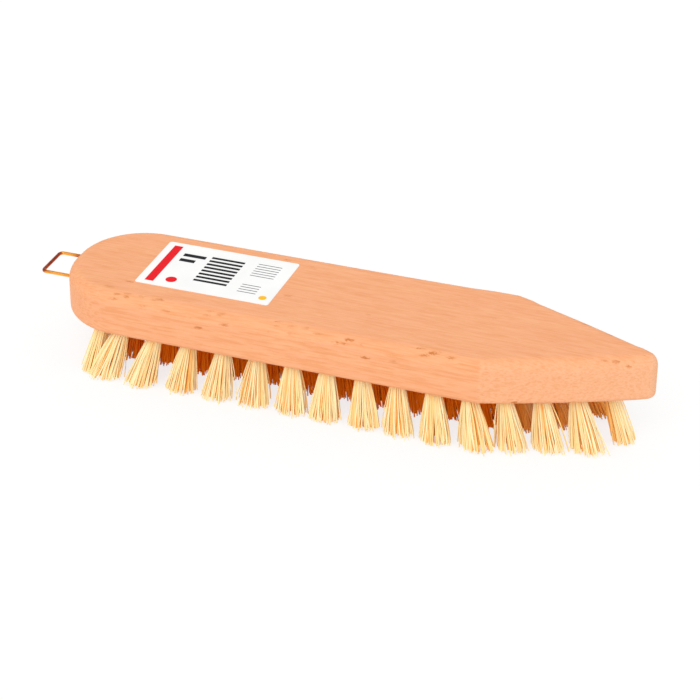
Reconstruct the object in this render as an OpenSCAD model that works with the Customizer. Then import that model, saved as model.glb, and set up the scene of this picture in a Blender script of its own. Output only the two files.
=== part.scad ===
// Pointed wooden scrub brush: one block, fibre tufts set in drilled holes, a wire loop to hang it by.
// Millimetres. X runs along the brush from the round rear end to the nose, Y across it, Z up.
// The origin is at the middle of the bounding box, on the plane of the bristle tips.

/* [Block] */
// Length of the block from the rear end to the nose
block_l = 220; // [190:1:250]
// Width between the straight sides
block_w = 54; // [50:1:62]
// Thickness of the block
block_t = 17; // [15:0.5:24]
// Radius of the two corners of the rear end, which leave a short flat between them
rear_r = 25.5; // [18:0.5:25.5]
// Length of the tapered nose
nose_l = 56.5; // [46:0.5:64]
// Radius of the nose tip seen from above
nose_r = 4; // [3:0.1:6]
// Outward bow of each tapered side
nose_bow = 1; // [0.5:0.1:2]
// Radius where a straight side turns into a tapered one
shoulder_r = 4; // [3:0.5:16]
// Rounding of the top edge
top_edge_r = 5; // [2.5:0.5:6]
// Rounding of the bottom edge
bottom_edge_r = 2; // [1:0.5:3]

/* [Bristle holes] */
// Diameter of a drilled hole
hole_d = 5; // [4:0.1:5.6]
// Depth of a drilled hole along its own axis
hole_depth = 11; // [8:0.5:12]
// Distance from a side of the block to the outer holes
side_margin = 7; // [6:0.5:9]
// Distance from the rear end to the hole on the centre line
rear_margin = 13.5; // [11:0.5:14]
// Distance from the nose tip to the hole on the centre line
nose_margin = 16.4; // [15:0.1:18]
// Columns of holes between the straight sides
straight_columns = 11; // [8:1:11]
// Distance from the last straight column to the shoulder
shoulder_gap = 5; // [2:0.5:8]
// Distance from the rear end to the pair of holes on the round end
rear_pair_x = 18.3; // [17:0.1:19]
// Distance from a side of the block to that pair
rear_pair_margin = 10; // [9:0.5:12]
// Distance between the columns of holes in the nose
nose_pitch = 11.6; // [11:0.1:12]

/* [Bristles] */
// Free length of the bristles below the block
bristle_l = 18.5; // [14:0.5:26]
// Backward lean of the rearmost tuft in degrees
rear_lean_angle = 10.5; // [6:0.5:12]
// Forward lean of the foremost tuft in degrees
nose_lean_angle = 20; // [10:0.5:21]
// Outward lean of the outer tufts in degrees
side_lean_angle = 17; // [8:0.5:18]
// Half length of a tuft's spread at the tips, along the brush
spread_along = 5.2; // [3:0.1:5.6]
// Half width of a tuft's spread at the tips, across the brush
spread_across = 3.8; // [2.5:0.1:5]
// Strands round a tuft, besides the one in its middle
ring_strands = 7; // [5:1:7]
// Thickness of a strand across its corners
strand_d = 1.2; // [0.8:0.1:1.3]
// Gap between the strands' roots and the rim of their plug
mouth_gap = 0.3; // [0.2:0.05:0.6]
// Length trimmed off the tips to level them
trim = 0.5; // [0.3:0.1:1]
// Clearance round a tuft in its hole
tuft_fit = 0.1; // [0.05:0.05:0.2]

/* [Anchors] */
// Thickness of the flat wire that a tuft is folded over
anchor_t = 0.5; // [0.4:0.1:0.8]
// Height of the flat wire
anchor_h = 2; // [1.5:0.1:2.5]
// How far each end of an anchor bites into the wood
anchor_bite = 0.4; // [0.2:0.1:0.6]
// Folded fibre between an anchor and the bottom of its hole
fold_t = 1.5; // [1:0.1:2]

/* [Hanging loop] */
// Diameter of the wire
wire_d = 1.3; // [1:0.1:2]
// Distance between the middles of the two legs
loop_w = 15.5; // [13:0.5:20]
// Distance from the rear end to the middle of the cross bar
loop_reach = 10.7; // [8:0.1:16]
// Radius of the bends, at the middle of the wire
bend_r = 1.6; // [1.3:0.1:3]
// Depth of the legs' ends in the block, from its rear end
leg_depth = 16; // [10:1:20]
// Height of the wire above the bottom face of the block
loop_h = 10.3; // [6:0.1:12]
// Clearance round the legs in their holes
leg_fit = 0.05; // [0.02:0.01:0.1]

/* [Label] */
// Length of the paper label along the brush
label_l = 51.6; // [40:0.1:60]
// Width of the label across the brush
label_w = 33.2; // [20:0.1:36]
// Thickness of the label
label_t = 0.2; // [0.1:0.05:0.4]
// Corner radius of the label
label_r = 1; // [0.5:0.1:3]
// Distance from the rear end to the label
label_from_rear = 29.7; // [25:0.1:60]
// Shift of the label towards the far side
label_shift = 1.9; // [0:0.1:2.5]

/* [Hidden] */
$fn = 24;
rim_fn = 36;
bow_fn = 360;
hole_fn = 16;
plug_fn = 8;
strand_fn = 3;
bottom_steps = 3;
top_steps = 6;
// Share of a tapered side's arc that its strip covers, between the shoulder and the nose tip
strip_share = 0.8;
// Height above the mouth where the strands leave their plug
strand_root = 1;

rear_x = (loop_reach + wire_d / 2 - block_l) / 2;
nose_x = rear_x + block_l;
shoulder_x = nose_x - nose_l;
block_z = bristle_l;
top_z = block_z + block_t;

// Each tapered side is an arc through the shoulder and the line that touches the nose tip.
taper_angle = taper_turn(nose_l, block_w / 2, nose_r);
taper_l = nose_l / cos(taper_angle);
bow_r = taper_l * taper_l / (8 * nose_bow) + nose_bow / 2;
bow_half = asin(taper_l / 2 / bow_r);

first_x = rear_x + block_w / 2;
last_straight_x = shoulder_x - shoulder_gap;
column_step = (last_straight_x - first_x) / (straight_columns - 1);
nose_columns = [4, 3, 2];
outer_y = block_w / 2 - side_margin;

anchor_l = hole_d + 2 * anchor_bite;
plug_d = hole_d - 2 * tuft_fit;
root_r = plug_d / 2 - strand_d / 2 - mouth_gap;
loop_z = block_z + loop_h;
leg_y = loop_w / 2;
bar_x = rear_x - loop_reach;
label_x = rear_x + label_from_rear;

// A column of holes is [x, the outer holes' distance from the centre line, the number of holes].
columns = concat(
    [[rear_x + rear_margin, 0, 1]],
    [[rear_x + rear_pair_x, block_w / 2 - rear_pair_margin, 2]],
    [for (i = [0 : straight_columns - 1]) [first_x + i * column_step, outer_y, 4]],
    [for (i = [1 : len(nose_columns)])
        let (x = last_straight_x + i * nose_pitch)
        [x, taper_y(x) - side_margin / cos(taper_angle), nose_columns[i - 1]]],
    [[nose_x - nose_margin, 0, 1]]
);

// A hole is [name of its tuft's node, x, y, lean along the brush, lean across it].
// The rear column is 01. Letters run from the near side, and the pair in the nose shares one node.
holes = [for (c = [0 : len(columns) - 1]) each column_holes(c, columns[c])];
tuft_nodes = [for (i = [0 : len(holes) - 1]) if (i == 0 || holes[i][0] != holes[i - 1][0]) holes[i][0]];

wood = [0.93, 0.70, 0.50];
fibre = [0.96, 0.85, 0.60];
brass = [0.85, 0.62, 0.30];
steel = [0.65, 0.65, 0.67];
paper = [0.97, 0.97, 0.96];

// Turn of a tapered side: the slope of the line from the shoulder that touches the nose tip's circle.
function taper_turn(l, half_w, r) = atan(half_w / (l - r)) - asin(r / norm([l - r, half_w]));

// Distance of a tapered side's chord from the centre line.
function taper_y(x) = block_w / 2 - (x - shoulder_x) * tan(taper_angle);

function arc(x, y, r, from, to, steps) =
    [for (i = [0 : steps]) let (a = from + (to - from) * i / steps) [x + r * cos(a), y + r * sin(a)]];

// Section of the block's rim: flat below and above, rounded at both edges, r from the axis at its widest.
function rim(r, inside) = [for (p = concat(
    [[inside, 0]],
    arc(r - bottom_edge_r, bottom_edge_r, bottom_edge_r, -90, 0, bottom_steps),
    arc(r - top_edge_r, block_t - top_edge_r, top_edge_r, 0, 90, top_steps),
    [[inside, block_t]])) [max(p[0], inside), p[1]]];

function column_holes(c, column) = let (n = column[2], number = str(c < 9 ? "0" : "", c + 1))
    [for (i = [0 : n - 1])
        let (rank = n > 1 ? 2 * i / (n - 1) - 1 : 0, letter = "abcd"[i], x = column[0])
        [str("tuft_", number, c > 1 && n == 2 ? "ab" : n > 1 ? letter : ""),
            x, rank * column[1], lean_along(x), rank * side_lean_angle]];

function lean_along(x) = let (rear = rear_x + rear_margin, nose = nose_x - nose_margin)
    -rear_lean_angle + (rear_lean_angle + nose_lean_angle) * (x - rear) / (nose - rear);

module puck(r) {
    rotate_extrude($fn = rim_fn) polygon(rim(r, 0));
}

// One tapered side, as a thin bent strip of the rim.
module tapered_side() {
    translate([shoulder_x, block_w / 2, 0])
        rotate([0, 0, -taper_angle])
            translate([taper_l / 2, nose_bow - bow_r, 0])
                rotate([0, 0, 90 - strip_share * bow_half])
                    rotate_extrude(angle = 2 * strip_share * bow_half, $fn = bow_fn)
                        polygon(rim(bow_r, bow_r - top_edge_r));
}

module block_body() {
    translate([0, 0, block_z]) hull() {
        for (side = [-1, 1]) {
            translate([rear_x + rear_r, side * (block_w / 2 - rear_r), 0]) puck(rear_r);
            translate([shoulder_x - shoulder_r * tan(taper_angle / 2), side * (block_w / 2 - shoulder_r), 0])
                puck(shoulder_r);
        }
        tapered_side();
        mirror([0, 1, 0]) tapered_side();
        translate([nose_x - nose_r, 0, 0]) puck(nose_r);
    }
}

// Puts what is drawn along a hole's axis in place: minus Z points to the tips, the mouth is at zero.
module at_hole(hole) {
    translate([hole[1], hole[2], block_z]) rotate([hole[4], -hole[3], 0]) children();
}

module anchor() {
    translate([-anchor_t / 2, -anchor_l / 2, hole_depth - fold_t - anchor_h])
        cube([anchor_t, anchor_l, anchor_h]);
}

module drill() {
    translate([0, 0, -hole_d]) cylinder(h = hole_d + hole_depth, d = hole_d, $fn = hole_fn);
}

// A straight strand from its root in the plug through its place at the tips, and on by the spare length.
module strand(u, v, free_l, spare) {
    root = [u * root_r, v * root_r, strand_root];
    tip = [u * spread_along, v * spread_across, -free_l];
    way = tip - root;
    translate(root)
        rotate([0, acos(way[2] / norm(way)), atan2(way[1], way[0])])
            cylinder(h = norm(way) + spare, d = strand_d, $fn = strand_fn);
}

// The strands' ends are cut off level, on the plane that the brush stands on.
module tuft(hole) {
    free_l = bristle_l / (cos(hole[3]) * cos(hole[4]));
    tilt_rise = spread_along * abs(sin(hole[3])) + spread_across * abs(sin(hole[4]));
    spare = 2 * trim + strand_d + tilt_rise;
    intersection() {
        at_hole(hole) difference() {
            union() {
                cylinder(h = hole_depth, d = plug_d, $fn = plug_fn);
                strand(0, 0, free_l, spare);
                for (i = [0 : ring_strands - 1]) {
                    turn = 360 * i / ring_strands;
                    strand(cos(turn), sin(turn), free_l, spare);
                }
            }
            anchor();
        }
        translate([-block_l, -block_w, 0]) cube([2 * block_l, 2 * block_w, top_z]);
    }
}

module block() {
    color(wood) difference() {
        block_body();
        for (hole = holes) {
            at_hole(hole) drill();
            at_hole(hole) anchor();
        }
        for (side = [-1, 1]) {
            translate([rear_x, side * leg_y, loop_z])
                rotate([0, 90, 0]) cylinder(h = leg_depth, d = wire_d + 2 * leg_fit);
        }
    }
}

module hanging_loop() {
    color(brass) translate([0, 0, loop_z]) {
        for (side = [-1, 1]) {
            translate([bar_x + bend_r, side * leg_y, 0])
                rotate([0, 90, 0]) cylinder(h = leg_depth + loop_reach - bend_r, d = wire_d);
            translate([bar_x + bend_r, side * (leg_y - bend_r), 0])
                rotate([0, 0, side > 0 ? 90 : 180])
                    rotate_extrude(angle = 90) translate([bend_r, 0]) circle(d = wire_d);
        }
        translate([bar_x, leg_y - bend_r, 0])
            rotate([90, 0, 0]) cylinder(h = loop_w - 2 * bend_r, d = wire_d);
    }
}

module label() {
    color(paper) translate([label_x, label_shift - label_w / 2, top_z]) linear_extrude(label_t) {
        translate([label_r, 0]) square([label_l - 2 * label_r, label_w]);
        translate([0, label_r]) square([label_l, label_w - 2 * label_r]);
        for (x = [label_r, label_l - label_r], y = [label_r, label_w - label_r]) {
            translate([x, y]) circle(r = label_r);
        }
    }
}

module anchors() {
    color(steel) for (hole = holes) at_hole(hole) anchor();
}

module tufts(name) {
    color(fibre) for (hole = holes) if (hole[0] == name) tuft(hole);
}

block();
hanging_loop();
label();
anchors();
for (name = tuft_nodes) tufts(name);
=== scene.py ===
"""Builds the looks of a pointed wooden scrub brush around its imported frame, in metres and in its axes."""

import math

import bpy
import numpy as np
from bpy.props import FloatProperty, FloatVectorProperty, IntProperty, PointerProperty
from mathutils import Matrix, Vector


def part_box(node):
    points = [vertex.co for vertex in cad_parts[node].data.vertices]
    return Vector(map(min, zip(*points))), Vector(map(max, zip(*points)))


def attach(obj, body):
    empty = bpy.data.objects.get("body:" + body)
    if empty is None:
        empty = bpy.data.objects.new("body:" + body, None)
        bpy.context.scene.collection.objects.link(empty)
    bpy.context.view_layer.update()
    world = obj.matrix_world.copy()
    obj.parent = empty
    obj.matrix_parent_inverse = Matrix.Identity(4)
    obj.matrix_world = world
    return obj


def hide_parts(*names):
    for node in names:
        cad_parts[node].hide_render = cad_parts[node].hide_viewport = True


bl_info = {
    "name": "Pointed Scrub Brush",
    "version": (1, 0, 0),
    "blender": (4, 5, 0),
    "location": "View3D > Sidebar > Scrub Brush",
    "description": "Wood, fibre tufts, wire loop and paper label of a pointed scrub brush",
    "category": "Object",
}

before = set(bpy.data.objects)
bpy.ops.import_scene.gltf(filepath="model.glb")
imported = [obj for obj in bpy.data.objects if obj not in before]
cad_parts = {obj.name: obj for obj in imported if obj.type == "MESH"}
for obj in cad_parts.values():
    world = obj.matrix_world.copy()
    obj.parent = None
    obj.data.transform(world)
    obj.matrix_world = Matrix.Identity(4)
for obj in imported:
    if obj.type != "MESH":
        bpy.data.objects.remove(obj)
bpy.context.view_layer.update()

BODY = "root"
BLOCK_LOW, BLOCK_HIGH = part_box("block")
LOOP_LOW, LOOP_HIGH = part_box("hanging_loop")
LABEL_LOW, LABEL_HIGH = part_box("label")
WIRE_RADIUS = (LOOP_HIGH.z - LOOP_LOW.z) / 2
# Height of the wire loop, and the distance of its legs from the brush's middle line.
LOOP_MIDDLE = (LOOP_HIGH.z + LOOP_LOW.z) / 2
LOOP_LEG = LOOP_HIGH.y - WIRE_RADIUS
TUFT_NODES = sorted(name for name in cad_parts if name.startswith("tuft_"))
MM = 0.001
# Holes less than this apart along the brush share a column, and less than this apart across it a row.
SAME_LINE = 4 * MM
# Distances between holes below this count as none.
SLACK = 1 * MM
# How far the cutters of the holes stand out of the wood.
OVERSHOOT = 3 * MM
# Each point of a fibre carries its tone, how far down it is and how much painted shade its depth in the
# brush gives it.
FIBRE_MARKS = ("tone", "reach", "painted_shade_depth")
PHOTO_PIXELS = 700
SENSOR_WIDTH = 36.0


def length(name, description, millimetres):
    """A size in metres, given in millimetres."""
    value = millimetres * MM
    return FloatProperty(name=name, description=description, default=value, min=0.0, unit="LENGTH")


def number(name, description, value, limit, **more):
    """A plain number from 0 to a limit."""
    return FloatProperty(name=name, description=description, default=value, min=0.0, max=limit, **more)


def share(name, description, value):
    """A plain number from 0 to 1."""
    return number(name, description, value, 1.0, subtype="FACTOR")


def count_of(name, description, value, limit):
    """A whole number from 1 to a limit."""
    return IntProperty(name=name, description=description, default=value, min=1, max=limit)


def angle(name, description, degrees):
    """An angle in radians, given in degrees."""
    value = math.radians(degrees)
    return FloatProperty(name=name, description=description, default=value, subtype="ANGLE")


def colour(name, description, value):
    """A linear colour."""
    return FloatVectorProperty(
        name=name, description=description, default=value, size=3, min=0.0, max=1.0, subtype="COLOR"
    )


class BlockSettings(bpy.types.PropertyGroup):
    """Shape and wood of the block."""

    rear_radius: length("Rear radius", "Radius of the two corners of the round end", 25.5)
    nose_length: length("Nose length", "Length of the tapered nose", 56.5)
    nose_radius: length("Nose radius", "Radius of the nose tip seen from above", 4.0)
    nose_bow: length("Nose bow", "Outward bow of each tapered side", 1.0)
    shoulder_radius: length("Shoulder radius", "Radius between a straight side and a tapered one", 4.0)
    top_edge: length("Top edge", "Rounding of the top edge", 5.0)
    bottom_edge: length("Bottom edge", "Rounding of the bottom edge", 2.0)
    hole_diameter: length("Hole diameter", "Diameter of a bristle hole", 5.0)
    hole_depth: length("Hole depth", "Depth of a bristle hole", 11.0)
    hole_chamfer: length("Hole chamfer", "Width of the worn edge round each hole", 0.3)
    wire_fit: number("Wire fit", "Diameter of the loop's holes, in diameters of its wire", 1.12, 2.0)
    pale: colour("Pale wood", "Colour of the pale wood", (0.888, 0.430, 0.225))
    rosy: colour("Rosy wood", "Colour of the rosy wood", (0.875, 0.405, 0.216))
    streak: colour("Grain", "Colour of the darker grain lines", (0.77, 0.30, 0.11))
    fleck: colour("Ray fleck", "Colour of the short ray flecks", (0.55, 0.17, 0.035))
    # Painted light: the paler colour of the faces that turn towards the nose.
    cut: colour("Cut wood", "Colour of the wood cut across its grain at the nose", (0.888, 0.485, 0.28))
    # Painted shade: the deeper orange of the rounded top edge.
    edge: colour("Edge wood", "Colour of the wood on the rounded top edge", (0.88, 0.41, 0.18))


class TuftSettings(bpy.types.PropertyGroup):
    """Shape and fibre of the tufts."""

    fibres: count_of("Fibres", "Fibres in one tuft", 180, 300)
    thickness: length("Thickness", "Thickness of a fibre", 0.44)
    spread_along: length("Spread along", "Half length of a tuft's tips, along the brush", 5.7)
    spread_across: length("Spread across", "Half width of a tuft's tips, across the brush", 3.8)
    root_depth: length("Root depth", "Depth in the hole at which the fibres start", 7.0)
    fit: length("Fit", "Gap between a tuft and the wall of its hole", 0.1)
    # The inner and last insets set the painted shade of the inner tufts.
    inner_inset: number("Inner inset", "How deep in the brush the inner tufts are, in half tufts", 3.0, 4.0)
    last_inset: number("Last inset", "The same for the last inner tufts, open to one end", 1.2, 4.0)
    inner_spread: number("Inner spread", "Spread of the inner tufts, in shares of the others'", 1.3, 1.5)
    end_range: length("End range", "Length of either end in which the tufts spread less", 20.0)
    end_spread: share("End spread", "Spread of the tufts at either end, as a share of the others'", 0.65)
    swept_back: length("Swept back", "Push back of the near tips, where the rear end's range ends", 2.64)
    swept_side: length("Swept aside", "How far the tips of the nose tuft are pushed to the near side", 3.0)
    swept_range: length("Swept range", "Length over which that push dies away", 48.0)
    uneven: length("Unevenness", "How far the tips of one tuft stand off their even place", 0.45)
    clumps: count_of("Clumps", "Clumps of like-toned fibres in a tuft", 9, 30)
    tone: share("Tone", "Mean tone of the fibres, from pale to brown", 0.36)
    tone_spread: share("Tone spread", "How much the fibres differ in tone", 0.20)
    clump_spread: share("Clump spread", "How much the clumps differ in tone", 0.12)
    ragged: length("Raggedness", "How unevenly the tips are trimmed", 1.5)
    bend: length("Bend", "Largest bend of a fibre at the middle of its free length", 0.5)
    strays: share("Strays", "Share of the fibres that stand out from their tuft", 0.05)
    pale: colour("Pale fibre", "Colour of the palest fibres", (0.965, 0.875, 0.55))
    gold: colour("Golden fibre", "Colour of the middle fibres", (0.975, 0.765, 0.355))
    brown: colour("Brown fibre", "Colour of the darkest fibres", (0.95, 0.46, 0.10))
    # Painted shade: amber on a tuft's inner side, towards its core and near its roots.
    amber: colour("Shaded fibre", "Colour of the fibres on a tuft's inner side", (1.0, 0.55, 0.10))
    # Painted shade: brown deep in the brush and in the cores of the tufts.
    inner: colour("Inner fibre", "Colour of the fibres in the middle of the brush", (1.0, 0.36, 0.012))


class WireSettings(bpy.types.PropertyGroup):
    """Shape and metal of the hanging loop."""

    bend_radius: length("Bend radius", "Radius of the bends, at the middle of the wire", 1.6)
    bright: colour("Bright metal", "Colour of the clean wire", (0.70, 0.29, 0.045))
    # Painted reflection: this colour is both the tarnish and the dark reflection painted on the bar.
    tarnish_and_reflection: colour("Tarnish", "Colour of the tarnished wire", (0.27, 0.03, 0.004))
    anchor: colour("Anchor metal", "Colour of the flat wire that holds the tufts", (0.56, 0.56, 0.58))


class LabelSettings(bpy.types.PropertyGroup):
    """Paper and print of the label."""

    corner: length("Corner radius", "Radius of the label's corners", 1.0)
    edge: length("Edge", "Width of the bevel round the label's top", 0.06)
    paper: colour("Paper", "Colour of the paper", (0.92, 0.92, 0.91))
    red: colour("Red ink", "Colour of the band and the large disc", (0.78, 0.012, 0.02))
    black: colour("Black ink", "Colour of the bars", (0.015, 0.015, 0.017))
    amber: colour("Amber ink", "Colour of the small disc", (0.95, 0.50, 0.02))


class StageSettings(bpy.types.PropertyGroup):
    """Camera, floor and lamps."""

    azimuth: angle("Azimuth", "Turn of the camera round the brush", 19.288)
    elevation: angle("Elevation", "Height of the camera above the floor", 30.0)
    roll: angle("Roll", "Roll of the camera", 0.641)
    distance: length("Distance", "Distance from the camera to the point that it looks at", 868.776)
    focal_pixels: number("Focal length", "Focal length of the camera, in pixels", 2402.137, 10000.0)
    aim_x: length("Aim along", "Place along the brush that the camera looks at", 3.151)
    aim_z: length("Aim height", "Height that the camera looks at", 14.695)
    floor_size: length("Floor size", "Width of the floor", 3000.0)
    floor_tone: share("Floor tone", "Share of the light that the floor gives back to the brush", 0.90)
    shadow: share("Shadow", "How strongly the shadow on the floor shows", 0.22)
    key_azimuth: angle("Key azimuth", "Turn of the key lamp round the brush", 4.0)
    key_elevation: angle("Key elevation", "Height of the key lamp", 45.5)
    key_spread: angle("Key spread", "Width of the key lamp as seen from the brush", 45.0)
    key_strength: number("Key lamp", "Strength of the key lamp", 1.17, 10.0)
    sky_strength: number("Sky", "Strength of the even light from all round", 0.82, 1.0)


def add_node(tree, kind, inputs=None, **settings):
    """Adds a node. Each input is a plain value, or the output socket that feeds it."""
    node = tree.nodes.new(kind)
    for name, value in settings.items():
        setattr(node, name, value)
    for name, value in (inputs or {}).items():
        if isinstance(value, bpy.types.NodeSocket):
            tree.links.new(value, node.inputs[name])
        else:
            node.inputs[name].default_value = value
    return node


def math_of(tree, operation, first, second=0.0, clamp=False):
    """The result of a Math node."""
    inputs = {0: first, 1: second}
    return add_node(tree, "ShaderNodeMath", inputs, operation=operation, use_clamp=clamp).outputs[0]


def times(tree, first, second):
    """The product of two values."""
    return math_of(tree, "MULTIPLY", first, second)


def vector_of(tree, operation, first, second):
    """The result of a Vector Math node."""
    return add_node(tree, "ShaderNodeVectorMath", {0: first, 1: second}, operation=operation).outputs[0]


def parts_of(tree, vector):
    """The X, Y and Z of a vector."""
    return add_node(tree, "ShaderNodeSeparateXYZ", {0: vector}).outputs


def object_place(tree):
    """The place on the object, in its own axes."""
    return add_node(tree, "ShaderNodeTexCoord").outputs["Object"]


def mixed(tree, factor, first, second):
    """A colour between two others. A plain colour has three numbers."""
    inputs = {0: factor}
    for socket, value in ((6, first), (7, second)):
        inputs[socket] = value if isinstance(value, bpy.types.NodeSocket) else (*value, 1.0)
    return add_node(tree, "ShaderNodeMix", inputs, data_type="RGBA").outputs[2]


def stepped(tree, value, low, high):
    """From 0 to 1 as value goes from low to high, or the other way round where low is the higher one."""
    inputs = {"Value": value, "From Min": low, "From Max": high}
    return add_node(tree, "ShaderNodeMapRange", inputs, interpolation_type="SMOOTHSTEP").outputs["Result"]


def stretched(tree, scale):
    """The place on the object, times a scale along each axis."""
    return vector_of(tree, "MULTIPLY", object_place(tree), scale)


def noise_of(tree, vector, detail=3.0, roughness=0.5, distortion=0.0):
    """Noise from 0 to 1, with features about one unit of the vector apart."""
    inputs = {"Vector": vector, "Scale": 1.0, "Detail": detail}
    inputs |= {"Roughness": roughness, "Distortion": distortion}
    return add_node(tree, "ShaderNodeTexNoise", inputs).outputs["Fac"]


def new_group(name, inputs, outputs):
    """A shader node group that is given numbers and vectors and puts out numbers, all by name. Returns the
    group, its inputs' values and its outputs."""
    group = bpy.data.node_groups.new(name, "ShaderNodeTree")
    for label, value in inputs.items():
        kind = "NodeSocketFloat" if isinstance(value, float) else "NodeSocketVector"
        socket = group.interface.new_socket(name=label, in_out="INPUT", socket_type=kind)
        socket.default_value = value
    for label in outputs:
        group.interface.new_socket(name=label, in_out="OUTPUT", socket_type="NodeSocketFloat")
    return group, group.nodes.new("NodeGroupInput").outputs, group.nodes.new("NodeGroupOutput").inputs


def use_group(tree, group, inputs):
    """The outputs of a node group that a material uses with its own values."""
    return add_node(tree, "ShaderNodeGroup", inputs, node_tree=group).outputs


def streaks_group():
    """Long thin lines along one direction: wood grain, drawn wire, rolled steel."""
    name = "Streaks"
    if name in bpy.data.node_groups:
        return bpy.data.node_groups[name]
    inputs = {"Scale": (1.0, 1.0, 1.0), "Low": 0.4, "High": 0.7, "Wander": 0.3}
    group, given, result = new_group(name, inputs, ("Lines", "Tone"))
    place = stretched(group, given["Scale"])
    tone = noise_of(group, place, detail=4.0, roughness=0.55, distortion=given["Wander"])
    lines = stepped(group, tone, given["Low"], given["High"])
    group.links.new(lines, result["Lines"])
    group.links.new(tone, result["Tone"])
    return group


def mottle_group():
    """Soft uneven patches with fine speckle, for handled and aged surfaces."""
    name = "Mottle"
    if name in bpy.data.node_groups:
        return bpy.data.node_groups[name]
    inputs = {"Patch Size": 20 * MM, "Speckle Size": 0.6 * MM}
    group, given, result = new_group(name, inputs, ("Patches", "Speckle"))
    place = object_place(group)
    for size, output, detail in (("Patch Size", "Patches", 2.0), ("Speckle Size", "Speckle", 1.0)):
        scale = math_of(group, "DIVIDE", 1.0, given[size])
        vector = add_node(group, "ShaderNodeVectorMath", {0: place, "Scale": scale}, operation="SCALE")
        group.links.new(noise_of(group, vector.outputs[0], detail=detail), result[output])
    return group


def new_material(name, setting, value):
    """A material with one setting of its Principled shader. Returns it, its tree and the shader."""
    material = bpy.data.materials.new(name)
    material.use_nodes = True
    shader = material.node_tree.nodes["Principled BSDF"]
    shader.inputs[setting].default_value = value
    return material, material.node_tree, shader


def bump(tree, shader, height, strength, depth):
    """Feeds a height, in shares of depth, to a shader's normal."""
    raised = add_node(tree, "ShaderNodeBump", {"Height": height, "Strength": strength, "Distance": depth})
    tree.links.new(raised.outputs["Normal"], shader.inputs["Normal"])


def coat(tree, shader, colour_now, rough_by, low, high):
    """Gives a shader its colour, and its roughness between two limits by a value from 0 to 1."""
    rough = add_node(tree, "ShaderNodeMapRange", {"Value": rough_by, "To Min": low, "To Max": high})
    tree.links.new(colour_now, shader.inputs["Base Color"])
    tree.links.new(rough.outputs["Result"], shader.inputs["Roughness"])


def streaks_of(tree, scale, low, high, wander=0.3):
    """Lines and tone of streaks with a scale along each axis. The lines rise between two tones."""
    values = {"Scale": scale, "Low": low, "High": high, "Wander": wander}
    return use_group(tree, streaks_group(), values)


def mottle_of(tree, patch_size, speckle_size):
    """Patches and speckle of the mottle."""
    return use_group(tree, mottle_group(), {"Patch Size": patch_size, "Speckle Size": speckle_size})


def fleck_mask(tree, band, patches):
    """Short ragged dashes in patches: many of them on the band, few elsewhere."""
    ragged = noise_of(tree, stretched(tree, (700.0, 1800.0, 1800.0)), detail=2.0)
    bent = vector_of(tree, "ADD", stretched(tree, (190.0, 560.0, 560.0)), ragged)
    cells = add_node(tree, "ShaderNodeTexVoronoi", {"Vector": bent, "Scale": 1.0})
    chosen = add_node(tree, "ShaderNodeSeparateColor", {0: cells.outputs["Color"]}).outputs[0]
    dash = stepped(tree, cells.outputs["Distance"], 0.46, 0.16)
    few = stepped(tree, chosen, 0.975, 0.983)
    many = stepped(tree, chosen, 0.40, 0.46)
    often = math_of(tree, "ADD", few, times(tree, many, band), clamp=True)
    patchy = stepped(tree, patches, 0.40, 0.54)
    return times(tree, times(tree, dash, often), times(tree, patchy, 0.9))


def wood_material(block):
    """Pale sanded beech, with its grain along the brush, a painted shade on its rounded top edge and painted
    light on its tapered sides.
    """
    # How strongly each mark shows.
    painted_edge_shade, top_grain, side_grain, nose_light_grain_loss, fine_grain, speckling = 0.22, 0.42, 0.16, 0.45, 0.50, 0.10
    material, tree, shader = new_material("Sanded beech", "Specular IOR Level", 0.12)
    mottle = mottle_of(tree, 24 * MM, 0.7 * MM)
    broad = streaks_of(tree, (30.0, 420.0, 420.0), 0.36, 0.66, 0.4)
    grain = streaks_of(tree, (85.0, 1500.0, 1500.0), 0.46, 0.66, 0.2)
    fine = streaks_of(tree, (150.0, 2300.0, 2300.0), 0.42, 0.72)
    colour_now = mixed(tree, broad["Lines"], block.pale, block.rosy)

    # Painted shade: the rounded top edge is tinted a deeper orange. It also shows short flecks, where it
    # cuts the wood's rays at a slant.
    normal = add_node(tree, "ShaderNodeNewGeometry").outputs["Normal"]
    along, _, slant = parts_of(tree, normal)
    band = times(tree, stepped(tree, slant, 0.15, 0.5), stepped(tree, slant, 0.995, 0.93))
    colour_now = mixed(tree, times(tree, band, painted_edge_shade), colour_now, block.edge)
    # Painted light: the faces that turn towards the nose, the tapered sides and the tip, are painted paler.
    painted_nose_light = stepped(tree, along, 0.0, 0.8)
    colour_now = mixed(tree, painted_nose_light, colour_now, block.cut)
    # The sides show the grain more strongly than the top, and where the tapered sides are painted paler the
    # grain hardly shows.
    strong = times(tree, stepped(tree, slant, 0.9, 0.3), side_grain)
    strong = math_of(tree, "ADD", strong, top_grain)
    strong = math_of(tree, "SUBTRACT", strong, times(tree, painted_nose_light, nose_light_grain_loss), clamp=True)
    colour_now = mixed(tree, times(tree, grain["Lines"], strong), colour_now, block.streak)
    colour_now = mixed(tree, times(tree, fine["Lines"], fine_grain), colour_now, block.streak)
    flecks = fleck_mask(tree, band, mottle["Patches"])
    colour_now = mixed(tree, flecks, colour_now, block.fleck)
    speckle = times(tree, stepped(tree, mottle["Speckle"], 0.55, 0.75), speckling)
    colour_now = mixed(tree, speckle, colour_now, block.streak)
    coat(tree, shader, colour_now, grain["Tone"], 0.52, 0.74)
    height = math_of(tree, "ADD", grain["Tone"], times(tree, fine["Tone"], 0.5))
    height = math_of(tree, "SUBTRACT", height, times(tree, flecks, 0.5))
    bump(tree, shader, height, 0.35, 0.10 * MM)
    return material


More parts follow.
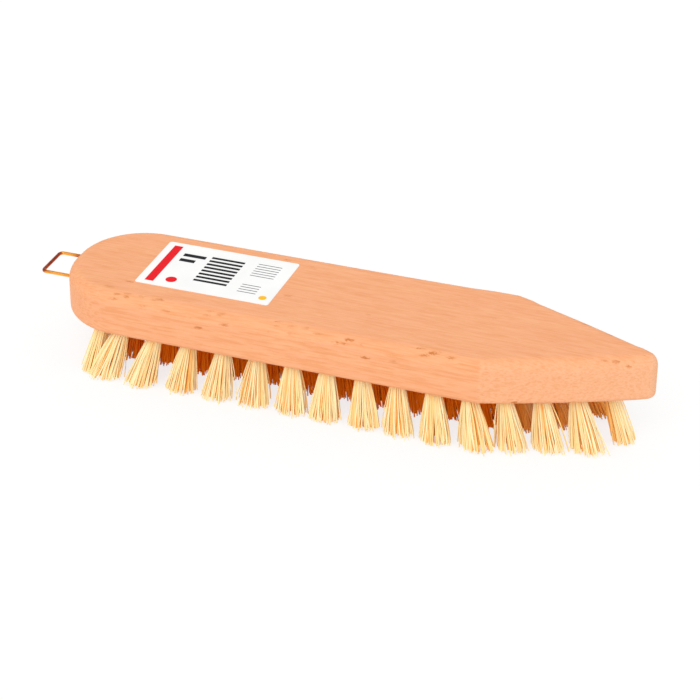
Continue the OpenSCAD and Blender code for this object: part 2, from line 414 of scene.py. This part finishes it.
def fibre_material(tuft):
    """Dry plant fibre. Each fibre has its own tone, and painted shade turns it golden brown deep in the
    brush, on a tuft's inner side and near the roots.
    """
    material, tree, shader = new_material("Plant fibre", "Specular IOR Level", 0.1)
    tone, reach, painted_shade_depth = [
        add_node(tree, "ShaderNodeAttribute", attribute_name=name).outputs["Fac"] for name in FIBRE_MARKS
    ]
    streaks = streaks_of(tree, (420.0, 420.0, 120.0), 0.35, 0.7)
    uneven = times(tree, math_of(tree, "SUBTRACT", streaks["Tone"], 0.5), 0.5)
    tone = math_of(tree, "ADD", tone, uneven, clamp=True)
    colour_now = mixed(tree, stepped(tree, tone, 0.15, 0.62), tuft.pale, tuft.gold)
    colour_now = mixed(tree, stepped(tree, tone, 0.72, 1.0), colour_now, tuft.brown)
    # Painted shade: fibres on a tuft's inner side, towards its core and near the roots are painted amber,
    # and those deep in the brush and in the tufts' cores brown.
    root = times(tree, stepped(tree, reach, 0.2, 0.0), 0.25)
    shaded = math_of(tree, "ADD", stepped(tree, painted_shade_depth, 0.0, 0.5), root, clamp=True)
    colour_now = mixed(tree, shaded, colour_now, tuft.amber)
    colour_now = mixed(tree, stepped(tree, painted_shade_depth, 0.5, 1.0), colour_now, tuft.inner)
    # The trimmed ends face down and show the fibre's own colour without the painted shade, also in the
    # middle of the brush.
    normal = add_node(tree, "ShaderNodeNewGeometry").outputs["Normal"]
    facing = parts_of(tree, normal)["Z"]
    colour_now = mixed(tree, stepped(tree, facing, -0.6, -0.75), colour_now, tuft.gold)
    coat(tree, shader, colour_now, streaks["Tone"], 0.42, 0.68)
    bump(tree, shader, streaks["Tone"], 0.25, 0.05 * MM)
    return material


def wire_material(wire):
    """Drawn brass-coloured wire with darker tarnish patches, and a painted dark reflection on its bar."""
    material, tree, shader = new_material("Drawn brass wire", "Metallic", 1.0)
    mottle = mottle_of(tree, 6 * MM, 0.4 * MM)
    drawn = streaks_of(tree, (300.0, 300.0, 6000.0), 0.4, 0.7)
    tarnish_and_reflection_mask = times(tree, drawn["Lines"], 0.2)
    tarnish_and_reflection_mask = math_of(tree, "ADD", tarnish_and_reflection_mask, mottle["Patches"])
    # Painted reflection: the bar that the brush hangs by is painted darkest, for the dark surroundings that
    # it reflects.
    along = parts_of(tree, object_place(tree))["X"]
    bar = stepped(tree, along, LOOP_LOW.x + 2.4 * MM, LOOP_LOW.x + 0.8 * MM)
    tarnish_and_reflection_mask = math_of(tree, "ADD", tarnish_and_reflection_mask, times(tree, bar, 0.32))
    colour_now = mixed(tree, stepped(tree, tarnish_and_reflection_mask, 0.48, 0.85), wire.bright, wire.tarnish_and_reflection)
    coat(tree, shader, colour_now, tarnish_and_reflection_mask, 0.20, 0.45)
    bump(tree, shader, drawn["Tone"], 0.2, 0.02 * MM)
    return material


def anchor_material(wire):
    """Rolled flat wire."""
    material, tree, shader = new_material("Rolled flat wire", "Metallic", 1.0)
    rolled = streaks_of(tree, (2000.0, 200.0, 2000.0), 0.3, 0.8)
    dark = tuple(0.6 * part for part in wire.anchor)
    coat(tree, shader, mixed(tree, rolled["Lines"], wire.anchor, dark), rolled["Tone"], 0.25, 0.5)
    return material


# Half width of the soft edge of a print, in millimetres.
PRINT_BLUR = 0.06


def printed_bars_group():
    """Mask of equal bars that run along the label, stacked across it, inside a rectangle. Millimetres."""
    inputs = {"Place": (0.0, 0.0, 0.0), "Middle": (0.0, 0.0, 0.0), "Half Length": 5.0, "Half Width": 5.0}
    inputs |= {"Pitch": 100.0, "Filled": 1.0}
    group, given, result = new_group("Printed bars", inputs, ("Mask",))
    x, y, _ = parts_of(group, vector_of(group, "SUBTRACT", given["Place"], given["Middle"]))
    within = []
    for part, half in ((x, "Half Length"), (y, "Half Width")):
        distance = math_of(group, "SUBTRACT", math_of(group, "ABSOLUTE", part), given[half])
        within.append(stepped(group, distance, PRINT_BLUR, -PRINT_BLUR))
    from_edge = math_of(group, "ADD", y, given["Half Width"])
    turn = math_of(group, "FRACT", math_of(group, "DIVIDE", from_edge, given["Pitch"]))
    bars = stepped(group, math_of(group, "SUBTRACT", turn, given["Filled"]), 0.03, -0.03)
    group.links.new(times(group, times(group, *within), bars), result["Mask"])
    return group


def printed_disc(tree, place, middle, radius):
    """Mask of a filled disc. Millimetres."""
    inputs = {0: place, 1: (*middle, 0.0)}
    distance = add_node(tree, "ShaderNodeVectorMath", inputs, operation="DISTANCE").outputs["Value"]
    return stepped(tree, distance, radius + PRINT_BLUR, radius - PRINT_BLUR)


def label_material(label):
    """Coated paper with a generic print: a band, bold rules, a hatched block, fine lines and discs."""
    material, tree, shader = new_material("Printed paper", "Specular IOR Level", 0.05)
    mottle = mottle_of(tree, 12 * MM, 0.5 * MM)
    grey = tuple(0.96 * part for part in label.paper)
    colour_now = mixed(tree, stepped(tree, mottle["Patches"], 0.3, 0.8), label.paper, grey)

    # The place on the paper, in millimetres from its corner.
    from_corner = vector_of(tree, "SUBTRACT", object_place(tree), LABEL_LOW)
    place = vector_of(tree, "MULTIPLY", from_corner, (1 / MM, 1 / MM, 0.0))
    bars = printed_bars_group()
    middle = (LABEL_HIGH.y - LABEL_LOW.y) / MM / 2
    # Bars have a pitch and the share of it that is filled. A solid print is one bar wider than the label.
    solid, bold, fine = (100.0, 1.0), (2.55, 0.56), (1.8, 0.22)
    # Each print has its ink, its middle, its half length and half width, and its bars.
    prints = (
        (label.red, (4.6, middle), 1.7, middle - 2.4, solid),
        (label.black, (13.2, middle + 8.6), 4.4, 1.1, solid),
        (label.black, (11.8, middle + 4.6), 3.0, 1.1, solid),
        (label.black, (26.0, middle + 1.5), 6.5, 10.2, bold),
        (label.black, (42.0, middle + 7.5), 4.6, 5.4, fine),
        (label.black, (41.0, middle - 7.0), 3.6, 3.6, fine),
    )
    for ink, centre, half_length, half_width, (pitch, filled) in prints:
        values = {
            "Place": place, "Middle": (*centre, 0.0), "Half Length": half_length,
            "Half Width": half_width, "Pitch": pitch, "Filled": filled,
        }
        colour_now = mixed(tree, use_group(tree, bars, values)["Mask"], colour_now, ink)
    discs = ((label.amber, (48.0, middle - 12.2), 1.5), (label.red, (12.0, middle - 10.8), 2.1))
    for ink, centre, radius in discs:
        colour_now = mixed(tree, printed_disc(tree, place, centre, radius), colour_now, ink)
    coat(tree, shader, colour_now, mottle["Patches"], 0.5, 0.65)
    bump(tree, shader, mottle["Speckle"], 0.12, 0.04 * MM)
    return material


def seen_rays(tree):
    """1 for rays of the camera and for those that a shiny or clear surface sends on, and 0 for others."""
    rays = add_node(tree, "ShaderNodeLightPath").outputs
    seen = math_of(tree, "MAXIMUM", rays["Is Camera Ray"], rays["Is Glossy Ray"])
    return math_of(tree, "MAXIMUM", seen, rays["Is Transmission Ray"])


def floor_material(stage):
    """Pale matt floor that looks white to the camera and in reflections, and keeps the brush's shadow."""
    material = bpy.data.materials.new("Pale floor")
    material.use_nodes = True
    tree = material.node_tree
    tree.nodes.clear()
    camera_ray = add_node(tree, "ShaderNodeLightPath").outputs["Is Camera Ray"]
    given, shown = [(tone,) * 3 for tone in (stage.floor_tone, stage.shadow)]
    matt = add_node(tree, "ShaderNodeBsdfDiffuse", {"Color": mixed(tree, camera_ray, given, shown)})
    strength = times(tree, seen_rays(tree), 1.0 - stage.shadow)
    glow = add_node(tree, "ShaderNodeEmission", {"Strength": strength})
    both = add_node(tree, "ShaderNodeAddShader", {0: matt.outputs[0], 1: glow.outputs[0]})
    add_node(tree, "ShaderNodeOutputMaterial", {"Surface": both.outputs[0]})
    return material


def add_object(name, data):
    """An object in the scene, for a mesh, a lamp or a camera."""
    thing = bpy.data.objects.new(name, data)
    bpy.context.scene.collection.objects.link(thing)
    return thing


def add_mesh(name, points, faces, *materials):
    """A mesh object in the scene."""
    mesh = bpy.data.meshes.new(name)
    mesh.from_pydata(points, [], faces)
    for material in materials:
        mesh.materials.append(material)
    return add_object(name, mesh)


def add_piece(name, points, faces, material, slot, *nodes):
    """A mesh piece that rides on the brush and stands for the CAD nodes given."""
    piece = add_mesh(name, points, faces, material)
    piece.data.validate()
    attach(piece, BODY)
    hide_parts(*nodes)
    return piece


def direction(turn):
    """The level direction at an angle from the X axis."""
    return Vector((math.cos(turn), math.sin(turn)))


def view_from(azimuth, elevation):
    """The direction towards a viewer who stands in front of the brush, turned and raised by two angles."""
    level = direction(azimuth - math.pi / 2)
    return Vector((*(level * math.cos(elevation)), math.sin(elevation)))


def arc(centre, radius, start, end, steps):
    """Places on an arc. Each comes with its direction outward, as an angle, and the radius."""
    turns = [start + (end - start) * i / steps for i in range(steps + 1)]
    return [(centre + direction(turn) * radius, turn, radius) for turn in turns]


def tube_faces(rings, sides):
    """Faces of a tube with closed ends, whose points run ring by ring."""
    faces = []
    for start in range(0, (rings - 1) * sides, sides):
        for i in range(sides):
            here, after = start + i, start + (i + 1) % sides
            faces.append((here, after, after + sides, here + sides))
    faces.append(tuple(reversed(range(sides))))
    faces.append(tuple(range((rings - 1) * sides, rings * sides)))
    return faces


def joined(solids):
    """The points and faces of several solids as one."""
    points, faces = [], []
    for more_points, more_faces in solids:
        start = len(points)
        faces += [[start + i for i in face] for face in more_faces]
        points += more_points
    return points, faces


def block_outline(block):
    """The far half of the block's outline from above, from the rear end to the nose. Each place comes with
    its direction outward, as an angle, and the radius of the curve there."""
    half_width = BLOCK_HIGH.y
    rear, nose = BLOCK_LOW.x, BLOCK_HIGH.x
    shoulder = Vector((nose - block.nose_length, half_width))
    reach = block.nose_length - block.nose_radius
    taper = math.atan2(half_width, reach) - math.asin(block.nose_radius / math.hypot(reach, half_width))
    side_length = block.nose_length / math.cos(taper)
    bow_radius = side_length**2 / (8 * block.nose_bow) + block.nose_bow / 2
    bow_half = math.asin(side_length / 2 / bow_radius)
    upright = math.pi / 2
    outward = upright - taper
    along = direction(-taper)
    bow_centre = shoulder + along * side_length / 2 - direction(outward) * (bow_radius - block.nose_bow)
    shoulder_back = block.shoulder_radius * math.tan(taper / 2)
    # Share of the bowed arc that shows. Beyond it the round shoulder and nose take over.
    shown = 0.8 * bow_half

    rear_centre = Vector((rear + block.rear_radius, half_width - block.rear_radius))
    shoulder_centre = Vector((shoulder.x - shoulder_back, half_width - block.shoulder_radius))
    nose_centre = Vector((nose - block.nose_radius, 0.0))
    stations = [(Vector((rear, 0.0)), math.pi, block.rear_radius)]
    stations += arc(rear_centre, block.rear_radius, math.pi, upright, steps=28)
    straight_steps = 16
    for i in range(1, straight_steps):
        x = rear_centre.x + (shoulder_centre.x - rear_centre.x) * i / straight_steps
        stations.append((Vector((x, half_width)), upright, block.rear_radius))
    stations += arc(shoulder_centre, block.shoulder_radius, upright, outward + shown, steps=6)
    stations += arc(bow_centre, bow_radius, outward + shown, outward - shown, steps=18)
    stations += arc(nose_centre, block.nose_radius, outward - shown, 0.0, steps=12)
    return stations


def block_mesh(block):
    """The block without its holes, as rings of points from the bottom face to the top face."""
    half = block_outline(block)
    mirrored = [(Vector((p.x, -p.y)), -turn, radius) for p, turn, radius in reversed(half[1:-1])]
    stations = half + mirrored
    count, steps, near_by = len(stations), 8, 4
    # The most that a rounded edge can have of the outline's own radius.
    most = 0.9

    def rounding(i, edge):
        """Radius of an edge at one place, held below the outline's own radius and evened out along it."""
        radii = [min(edge, most * stations[(i + k) % count][2]) for k in range(-near_by, near_by + 1)]
        return min(min(radii[near_by - 1:near_by + 2]), sum(radii) / len(radii))

    turns = [math.pi / 2 * i / steps for i in range(steps + 1)]
    low_edge, high_edge = block.bottom_edge, block.top_edge
    # A level is its height, its edge radius and the share of that radius by which it is set in.
    levels = [(BLOCK_LOW.z + low_edge * (1 - math.cos(t)), low_edge, 1 - math.sin(t)) for t in turns]
    levels += [(BLOCK_HIGH.z - high_edge * (1 - math.sin(t)), high_edge, 1 - math.cos(t)) for t in turns]
    points = []
    for height, edge, set_in in levels:
        for i, (outer, turn, _) in enumerate(stations):
            place = outer - direction(turn) * rounding(i, edge) * set_in
            points.append((*place, height))
    # The outline runs clockwise seen from above, so the faces are turned over.
    return points, [tuple(reversed(face)) for face in tube_faces(len(levels), count)]


def tuft_axes():
    """For each tuft: its node, the middle of its hole's mouth and the direction from there into the wood."""
    found = []
    for node in TUFT_NODES:
        points = np.array([v.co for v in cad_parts[node].data.vertices])
        # One node holds a pair of tufts, one on either side of the middle line.
        paired = node.endswith("ab")
        sides = [points[points[:, 1] < 0], points[points[:, 1] > 0]] if paired else [points]
        for side in sides:
            # The tips stand on the floor, and the end of the tuft's plug lies farthest from them.
            tips = side[side[:, 2] < 0.01 * MM]
            tip = (tips.min(0) + tips.max(0)) / 2
            far = np.linalg.norm(side - tip, axis=1)
            plug = side[far > far.max() - 0.5 * MM]
            inner = (plug.min(0) + plug.max(0)) / 2
            inward = (inner - tip) / np.linalg.norm(inner - tip)
            mouth = tip + inward * (BLOCK_LOW.z - tip[2]) / inward[2]
            found.append((node, Vector(mouth), Vector(inward)))
    return found


def cutter(mouth, inward, radii, heights, sides):
    """The points and faces of a turned cutter on a hole's axis."""
    turn = inward.to_track_quat("Z", "X").to_matrix()
    points = []
    for radius, height in zip(radii, heights):
        for i in range(sides):
            level = direction(math.tau * i / sides) * radius
            points.append(mouth + turn @ Vector((*level, height)))
    return points, tube_faces(len(radii), sides)


def cut(piece, points, faces):
    """Cuts closed solids out of a piece and keeps the result as its mesh."""
    cutters = add_mesh("cutters", points, faces)
    modifier = piece.modifiers.new("holes", "BOOLEAN")
    modifier.operation = "DIFFERENCE"
    modifier.solver = "EXACT"
    modifier.object = cutters
    depsgraph = bpy.context.evaluated_depsgraph_get()
    result = bpy.data.meshes.new_from_object(piece.evaluated_get(depsgraph))
    piece.modifiers.remove(modifier)
    piece.data = result
    bpy.data.objects.remove(cutters)


def smooth(piece, sharp_degrees):
    """Smooth shading with sharp edges kept, and flat faces that stay flat."""
    piece.data.shade_smooth()
    piece.data.set_sharp_from_angle(angle=math.radians(sharp_degrees))
    weighted = piece.modifiers.new("flat faces", "WEIGHTED_NORMAL")
    weighted.keep_sharp = True


class BRUSH_OT_block(bpy.types.Operator):
    """Build the wooden block with its drilled holes"""

    bl_idname = "scrub_brush.block"
    bl_label = "Block"

    def execute(self, context):
        block = context.scene.brush_block
        piece = add_piece("block_wood", *block_mesh(block), wood_material(block), "block", "block")
        hole, chamfer = block.hole_diameter / 2, block.hole_chamfer
        radii = (hole + chamfer + OVERSHOOT, hole + chamfer, hole, hole)
        heights = (-OVERSHOOT, 0.0, chamfer, block.hole_depth)
        cutters = [cutter(mouth, inward, radii, heights, sides=40) for _, mouth, inward in tuft_axes()]
        radii = (block.wire_fit * WIRE_RADIUS,) * 2
        heights = (-OVERSHOOT, LOOP_HIGH.x - BLOCK_LOW.x)
        for leg in (-LOOP_LEG, LOOP_LEG):
            mouth = Vector((BLOCK_LOW.x, leg, LOOP_MIDDLE))
            cutters.append(cutter(mouth, Vector((1, 0, 0)), radii, heights, sides=24))
        cut(piece, *joined(cutters))
        smooth(piece, sharp_degrees=30)
        return {"FINISHED"}


def open_side(tuft, mouths, mouth):
    """The level direction from a tuft towards the open, and how far inside the brush the tuft stands."""

    def half_width(place):
        """Half the width of the column of holes at a place."""
        return max(abs(other.y) for other in mouths if abs(other.x - place.x) < SAME_LINE)

    to_side, to_end = (0.0, math.copysign(1, mouth.y)), (math.copysign(1, mouth.x), 0.0)
    if half_width(mouth) < SLACK:
        return to_end, 0.0
    if half_width(mouth) - abs(mouth.y) < SLACK:
        return to_side, 0.0
    inner = [other for other in mouths if half_width(other) - abs(other.y) > SLACK]
    farther = [other for other in inner if (other.x - mouth.x) * to_end[0] > SLACK]
    in_row = [other for other in farther if abs(other.y - mouth.y) < SAME_LINE]
    return (to_side, tuft.inner_inset) if in_row else (to_end, tuft.last_inset)


def tip_shift(tuft, mouth, chance):
    """How far one tuft's tips stand off their even place, along the brush and across it."""
    shift = chance.normal(0, tuft.uneven, 2)
    if BLOCK_HIGH.x - mouth.x < tuft.end_range:
        return shift + (0.0, -tuft.swept_side)
    past_end = mouth.x - BLOCK_LOW.x - tuft.end_range
    if mouth.y > 0 or past_end < 0:
        return shift
    return shift + (-tuft.swept_back * max(0.0, 1.0 - past_end / tuft.swept_range), 0.0)


def fibre_paths(tuft, chance, free, radius, spread_along, tip_offset):
    """One tuft's fibres on its own axis: -Z runs to the tips and the hole's mouth is at zero. Returns their
    points, as fibres by points by XYZ, their thickness and their places in the tuft, from -1 to 1."""
    count = tuft.fibres
    steps = 8
    # A power of a half would set the fibres evenly. A lower one sets more of them near the rim.
    rim_power = 0.42
    golden = math.pi * (3 - math.sqrt(5))
    ring = ((np.arange(count) + 0.5) / count)**rim_power
    turn = np.arange(count) * golden + chance.uniform(0, math.tau)
    places = np.stack([ring * np.cos(turn), ring * np.sin(turn)], 1)
    sizes = tuft.thickness * chance.uniform(0.75, 1.25, count)
    packed = places * (radius - tuft.thickness / 2)
    roots = np.column_stack([packed, np.full(count, tuft.root_depth)])
    mouths = np.column_stack([packed, np.zeros(count)])
    # Strays stand out by 15 to 40 percent, and each tip lies a little off its even place.
    spill = np.where(chance.random(count) < tuft.strays, chance.uniform(1.15, 1.4, count), 1.0)
    scatter = chance.normal(0, 0.09, (2, count)).T
    ends = (places * spill[:, None] + scatter) * (spread_along, tuft.spread_across) + tip_offset
    tips = np.column_stack([ends, np.full(count, -free)])
    share_down = np.linspace(0, 1, steps + 1)[None, :, None]
    # The fibres fan out most right below the mouth.
    early = 0.25
    fan = (1 + early) * share_down - early * share_down**2
    level = mouths[:, None, :2] + (tips - mouths)[:, None, :2] * fan
    height = mouths[:, None, 2:] + (tips - mouths)[:, None, 2:] * share_down
    level = level + chance.normal(0, tuft.bend / 2, (count, 1, 2)) * np.sin(math.pi * share_down)
    # Each fibre is slightly wavy, more so towards its tip.
    waves, start = chance.uniform(6, 12, (count, 1, 1)), chance.uniform(0, 6, (count, 1, 1))
    swing = chance.normal(0, 0.10 * MM, (count, 1, 2))
    level = level + np.sin(share_down * waves + start) * share_down * swing
    free_part = np.concatenate([level, height], 2)
    return np.concatenate([roots[:, None, :], free_part], 1), sizes, places


def trim_fibres(paths, heights):
    """The fibres cut off level, each at its own height, with their points spread evenly again."""
    fibres, count = np.arange(len(paths)), paths.shape[1]
    before, last = paths[:, -2], paths[:, -1]
    longer = np.maximum(1.0, (before[:, 2] - heights) / (before[:, 2] - last[:, 2]))
    paths[:, -1] = before + (last - before) * longer[:, None]
    # A point this little above the cut counts as below it.
    hair = 0.001 * MM
    below = paths[:, :, 2] <= heights[:, None] + hair
    after = below.argmax(1)
    above, under = paths[fibres, after - 1], paths[fibres, after]
    ends = after - 1 + (above[:, 2] - heights) / (above[:, 2] - under[:, 2])
    places = ends[:, None] * np.linspace(0, 1, count)
    low = np.minimum(places.astype(int), count - 2)
    rest = (places - low)[:, :, None]
    return paths[fibres[:, None], low] * (1 - rest) + paths[fibres[:, None], low + 1] * rest


def fibre_mesh(paths, sizes, sides):
    """Tubes round the paths, closed at their tips. Returns their points and faces."""
    count, rings, _ = paths.shape
    along = np.gradient(paths, axis=1)
    along /= np.linalg.norm(along, axis=2, keepdims=True)
    across = np.cross(along, np.array([0.0, 1.0, 0.0]))
    across /= np.linalg.norm(across, axis=2, keepdims=True)
    beside = np.cross(along, across)
    # Each fibre is turned by another angle, so that their flat sides face all ways.
    turns = math.tau * np.arange(sides) / sides + np.linspace(0, 40, count)[:, None]
    around = np.cos(turns)[:, None, :, None] * across[:, :, None, :]
    around += np.sin(turns)[:, None, :, None] * beside[:, :, None, :]
    points = paths[:, :, None, :] + around * (sizes / 2)[:, None, None, None]
    index = np.arange(count * rings * sides).reshape(count, rings, sides)
    after = np.roll(index, -1, axis=2)
    walls = np.stack([index[:, :-1], index[:, 1:], after[:, 1:], after[:, :-1]], -1).reshape(-1, 4)
    return points.reshape(-1, 3).tolist(), walls.tolist() + index[:, -1, :].tolist()


def painted_shade_in_brush(places, outward, way_in):
    """How much painted shade each fibre gets, from 0 to 1, by its tuft's place in the brush and its own in
    the tuft.
    """
    painted_shade_depth = way_in - places @ np.array(outward)
    core = 1.0 - np.linalg.norm(places, axis=1)
    # The painted shade starts a little outside the middle of a tuft in the outer row.
    start, by_tuft, by_core = -0.1, 0.45, 0.9
    return np.clip(np.maximum(by_tuft * (painted_shade_depth - start), by_core * core), 0, 1)


def grow_tuft(tuft, radius, mouths, mouth, inward, chance):
    """The points and faces of one tuft's fibres, and the marks of its points."""
    sides = 4
    x_axis = (Vector((1, 0, 0)) - inward * inward.x).normalized()
    lean = np.array([x_axis, inward.cross(x_axis), inward])
    at_end = min(mouth.x - BLOCK_LOW.x, BLOCK_HIGH.x - mouth.x) < tuft.end_range
    # How far inside the brush the tuft stands sets the painted shade of its fibres.
    outward, way_in = open_side(tuft, mouths, mouth)
    wider = tuft.end_spread if at_end else tuft.inner_spread if way_in > 0 else 1.0
    offset = tip_shift(tuft, mouth, chance)
    free = mouth.z / inward.z
    paths, sizes, places = fibre_paths(tuft, chance, free, radius, tuft.spread_along * wider, offset)
    paths = paths @ lean + np.array(mouth)
    # The brush was trimmed level, so each fibre is cut at its own height just above the floor.
    trimmed = np.abs(chance.normal(0, tuft.ragged / 2, len(sizes))) + sizes / 2
    paths = trim_fibres(paths, trimmed)
    clump = (np.arctan2(places[:, 1], places[:, 0]) / math.tau + 0.5) * tuft.clumps
    clump_tones = chance.normal(0.0, tuft.clump_spread, tuft.clumps + 1)
    own_tones = chance.normal(tuft.tone, tuft.tone_spread, len(sizes))
    marks = {
        "tone": np.clip(own_tones + clump_tones[clump.astype(int)], 0, 1)[:, None],
        "reach": np.clip((mouth.z - paths[:, :, 2]) / mouth.z, 0, 1),
        "painted_shade_depth": painted_shade_in_brush(places, outward, way_in)[:, None],
    }
    marks = {name: np.repeat(np.broadcast_to(mark, paths.shape[:2]), sides) for name, mark in marks.items()}
    return fibre_mesh(paths, sizes, sides), marks


class BRUSH_OT_tufts(bpy.types.Operator):
    """Plant a tuft of fibres in every hole"""

    bl_idname = "scrub_brush.tufts"
    bl_label = "Tufts"

    def execute(self, context):
        tuft = context.scene.brush_tufts
        radius = context.scene.brush_block.hole_diameter / 2 - tuft.fit
        material = fibre_material(tuft)
        axes = tuft_axes()
        mouths = [mouth for _, mouth, _ in axes]
        grown = {}
        for seed, (node, mouth, inward) in enumerate(axes, 1):
            chance = np.random.default_rng(seed)
            grown.setdefault(node, []).append(grow_tuft(tuft, radius, mouths, mouth, inward, chance))
        for node, tufts in grown.items():
            solid = joined([mesh for mesh, _ in tufts])
            piece = add_piece(node.replace("tuft", "fibres"), *solid, material, "bristle", node)
            for name in FIBRE_MARKS:
                values = np.concatenate([marks[name] for _, marks in tufts]).astype(np.float32)
                piece.data.attributes.new(name, "FLOAT", "POINT").data.foreach_set("value", values)
        return {"FINISHED"}


def loop_path(wire):
    """The wire's middle line, from the end of the near leg round the bar to the end of the far leg."""
    quarter, bend = math.pi / 2, wire.bend_radius
    path = [(LOOP_HIGH.x, -LOOP_LEG), (BLOCK_LOW.x, -LOOP_LEG)]
    for side, start in ((-1, -quarter), (1, 2 * quarter)):
        centre = Vector((LOOP_LOW.x + WIRE_RADIUS + bend, side * (LOOP_LEG - bend)))
        path += [place for place, _, _ in arc(centre, bend, start, start - quarter, steps=8)]
    path += [(BLOCK_LOW.x, LOOP_LEG), (LOOP_HIGH.x, LOOP_LEG)]
    return [Vector((*place, LOOP_MIDDLE)) for place in path]


class BRUSH_OT_loop(bpy.types.Operator):
    """Bend the wire loop at the rear end"""

    bl_idname = "scrub_brush.loop"
    bl_label = "Hanging loop"

    def execute(self, context):
        wire = context.scene.brush_wire
        path = loop_path(wire)
        sides = 20
        points = []
        for i, place in enumerate(path):
            before, after = path[max(i - 1, 0)], path[min(i + 1, len(path) - 1)]
            along = (after - before).normalized()
            beside = along.cross(Vector((0, 0, 1)))
            for k in range(sides):
                level = direction(math.tau * k / sides) * WIRE_RADIUS
                points.append(place + beside * level.x + Vector((0, 0, level.y)))
        faces = tube_faces(len(path), sides)
        piece = add_piece("hanging_loop_wire", points, faces, wire_material(wire), "wire", "hanging_loop")
        smooth(piece, sharp_degrees=50)
        return {"FINISHED"}


class BRUSH_OT_label(bpy.types.Operator):
    """Stick the printed paper label on the top"""

    bl_idname = "scrub_brush.label"
    bl_label = "Label"

    def execute(self, context):
        label = context.scene.brush_label
        low, high, corner = LABEL_LOW, LABEL_HIGH, label.corner
        right, left, far, near = high.x - corner, low.x + corner, high.y - corner, low.y + corner
        outline = []
        for quarter, centre in enumerate(((right, far), (left, far), (left, near), (right, near))):
            turns = [math.pi / 2 * i for i in (quarter, quarter + 1)]
            outline += [place for place, _, _ in arc(Vector(centre), corner, *turns, steps=6)]
        middle = ((low + high) / 2).xy
        levels = ((0.0, low.z), (0.0, high.z - label.edge), (label.edge, high.z))
        points = []
        for set_in, height in levels:
            for place in outline:
                inward = (middle - place).normalized() * set_in
                points.append((*(place + inward), height))
        faces = tube_faces(len(levels), len(outline))
        piece = add_piece("label_paper", points, faces, label_material(label), "label", "label")
        smooth(piece, sharp_degrees=50)
        return {"FINISHED"}


class BRUSH_OT_anchors(bpy.types.Operator):
    """Finish the flat wire anchors inside the block"""

    bl_idname = "scrub_brush.anchors"
    bl_label = "Anchors"

    def execute(self, context):
        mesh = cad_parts["anchors"].data
        mesh.materials.clear()
        mesh.materials.append(anchor_material(context.scene.brush_wire))
        return {"FINISHED"}


class BRUSH_OT_stage(bpy.types.Operator):
    """Set up the floor, the lamps and the camera"""

    bl_idname = "scrub_brush.stage"
    bl_label = "Stage"

    def execute(self, context):
        stage = context.scene.brush_stage
        self.add_floor(stage)
        self.add_light(context, stage)
        self.add_camera(context, stage)
        context.scene.view_settings.view_transform = "Standard"
        context.scene.cycles.max_bounces = 16
        context.scene.cycles.diffuse_bounces = 12
        return {"FINISHED"}

    def add_floor(self, stage):
        """Lays the floor."""
        half = stage.floor_size / 2
        corners = [(-half, -half, 0), (half, -half, 0), (half, half, 0), (-half, half, 0)]
        floor = add_mesh("floor", corners, [(0, 1, 2, 3)], floor_material(stage))

    def add_light(self, context, stage):
        """Sets up the key lamp and the sky."""
        lamp = bpy.data.lights.new("key", "SUN")
        lamp.energy = stage.key_strength
        lamp.angle = stage.key_spread
        towards = view_from(stage.key_azimuth, stage.key_elevation)
        add_object("key", lamp).rotation_euler = towards.to_track_quat("Z", "Y").to_euler()
        world = bpy.data.worlds.new("studio")
        context.scene.world = world
        world.use_nodes = True
        tree = world.node_tree
        tree.nodes.clear()
        # The sky looks white, and lights the brush at its own strength.
        lift = times(tree, seen_rays(tree), 1.0 - stage.sky_strength)
        strength = math_of(tree, "ADD", lift, stage.sky_strength)
        sky = add_node(tree, "ShaderNodeBackground", {"Color": (1.0, 1.0, 1.0, 1.0), "Strength": strength})
        add_node(tree, "ShaderNodeOutputWorld", {"Surface": sky.outputs[0]})

    def add_camera(self, context, stage):
        """Sets up the camera that looks as the photograph's camera did."""
        data = bpy.data.cameras.new("camera")
        data.sensor_width = SENSOR_WIDTH
        data.lens = stage.focal_pixels * SENSOR_WIDTH / PHOTO_PIXELS
        back = view_from(stage.azimuth, stage.elevation)
        right = direction(stage.azimuth).to_3d()
        up = back.cross(right)
        rolled_right = right * math.cos(stage.roll) + up * math.sin(stage.roll)
        rolled_up = up * math.cos(stage.roll) - right * math.sin(stage.roll)
        turn = Matrix((rolled_right, rolled_up, back)).transposed().to_4x4()
        aim = Vector((stage.aim_x, 0.0, stage.aim_z))
        camera = add_object("camera", data)
        camera.matrix_world = Matrix.Translation(aim + back * stage.distance) @ turn
        context.scene.camera = camera


STEPS = (BRUSH_OT_stage, BRUSH_OT_block, BRUSH_OT_tufts, BRUSH_OT_loop, BRUSH_OT_label, BRUSH_OT_anchors)
SETTINGS = {
    "brush_block": BlockSettings,
    "brush_tufts": TuftSettings,
    "brush_wire": WireSettings,
    "brush_label": LabelSettings,
    "brush_stage": StageSettings,
}


class BRUSH_PT_panel(bpy.types.Panel):
    """Lists the steps that build the brush"""

    bl_idname = "BRUSH_PT_panel"
    bl_label = "Scrub Brush"
    bl_space_type = "VIEW_3D"
    bl_region_type = "UI"
    bl_category = "Scrub Brush"

    def draw(self, context):
        for step in STEPS:
            self.layout.operator(step.bl_idname)


def register():
    """Registers the settings, the steps and the panel."""
    for name, settings in SETTINGS.items():
        bpy.utils.register_class(settings)
        setattr(bpy.types.Scene, name, PointerProperty(type=settings))
    for step in STEPS:
        bpy.utils.register_class(step)
    bpy.utils.register_class(BRUSH_PT_panel)


def unregister():
    """Takes the panel, the steps and the settings away."""
    bpy.utils.unregister_class(BRUSH_PT_panel)
    for step in reversed(STEPS):
        bpy.utils.unregister_class(step)
    for name, settings in SETTINGS.items():
        delattr(bpy.types.Scene, name)
        bpy.utils.unregister_class(settings)


def main():
    """Builds the brush and its stage."""
    register()
    for step in STEPS:
        group, call = step.bl_idname.split(".")
        getattr(getattr(bpy.ops, group), call)()


if __name__ == "__main__":
    main()
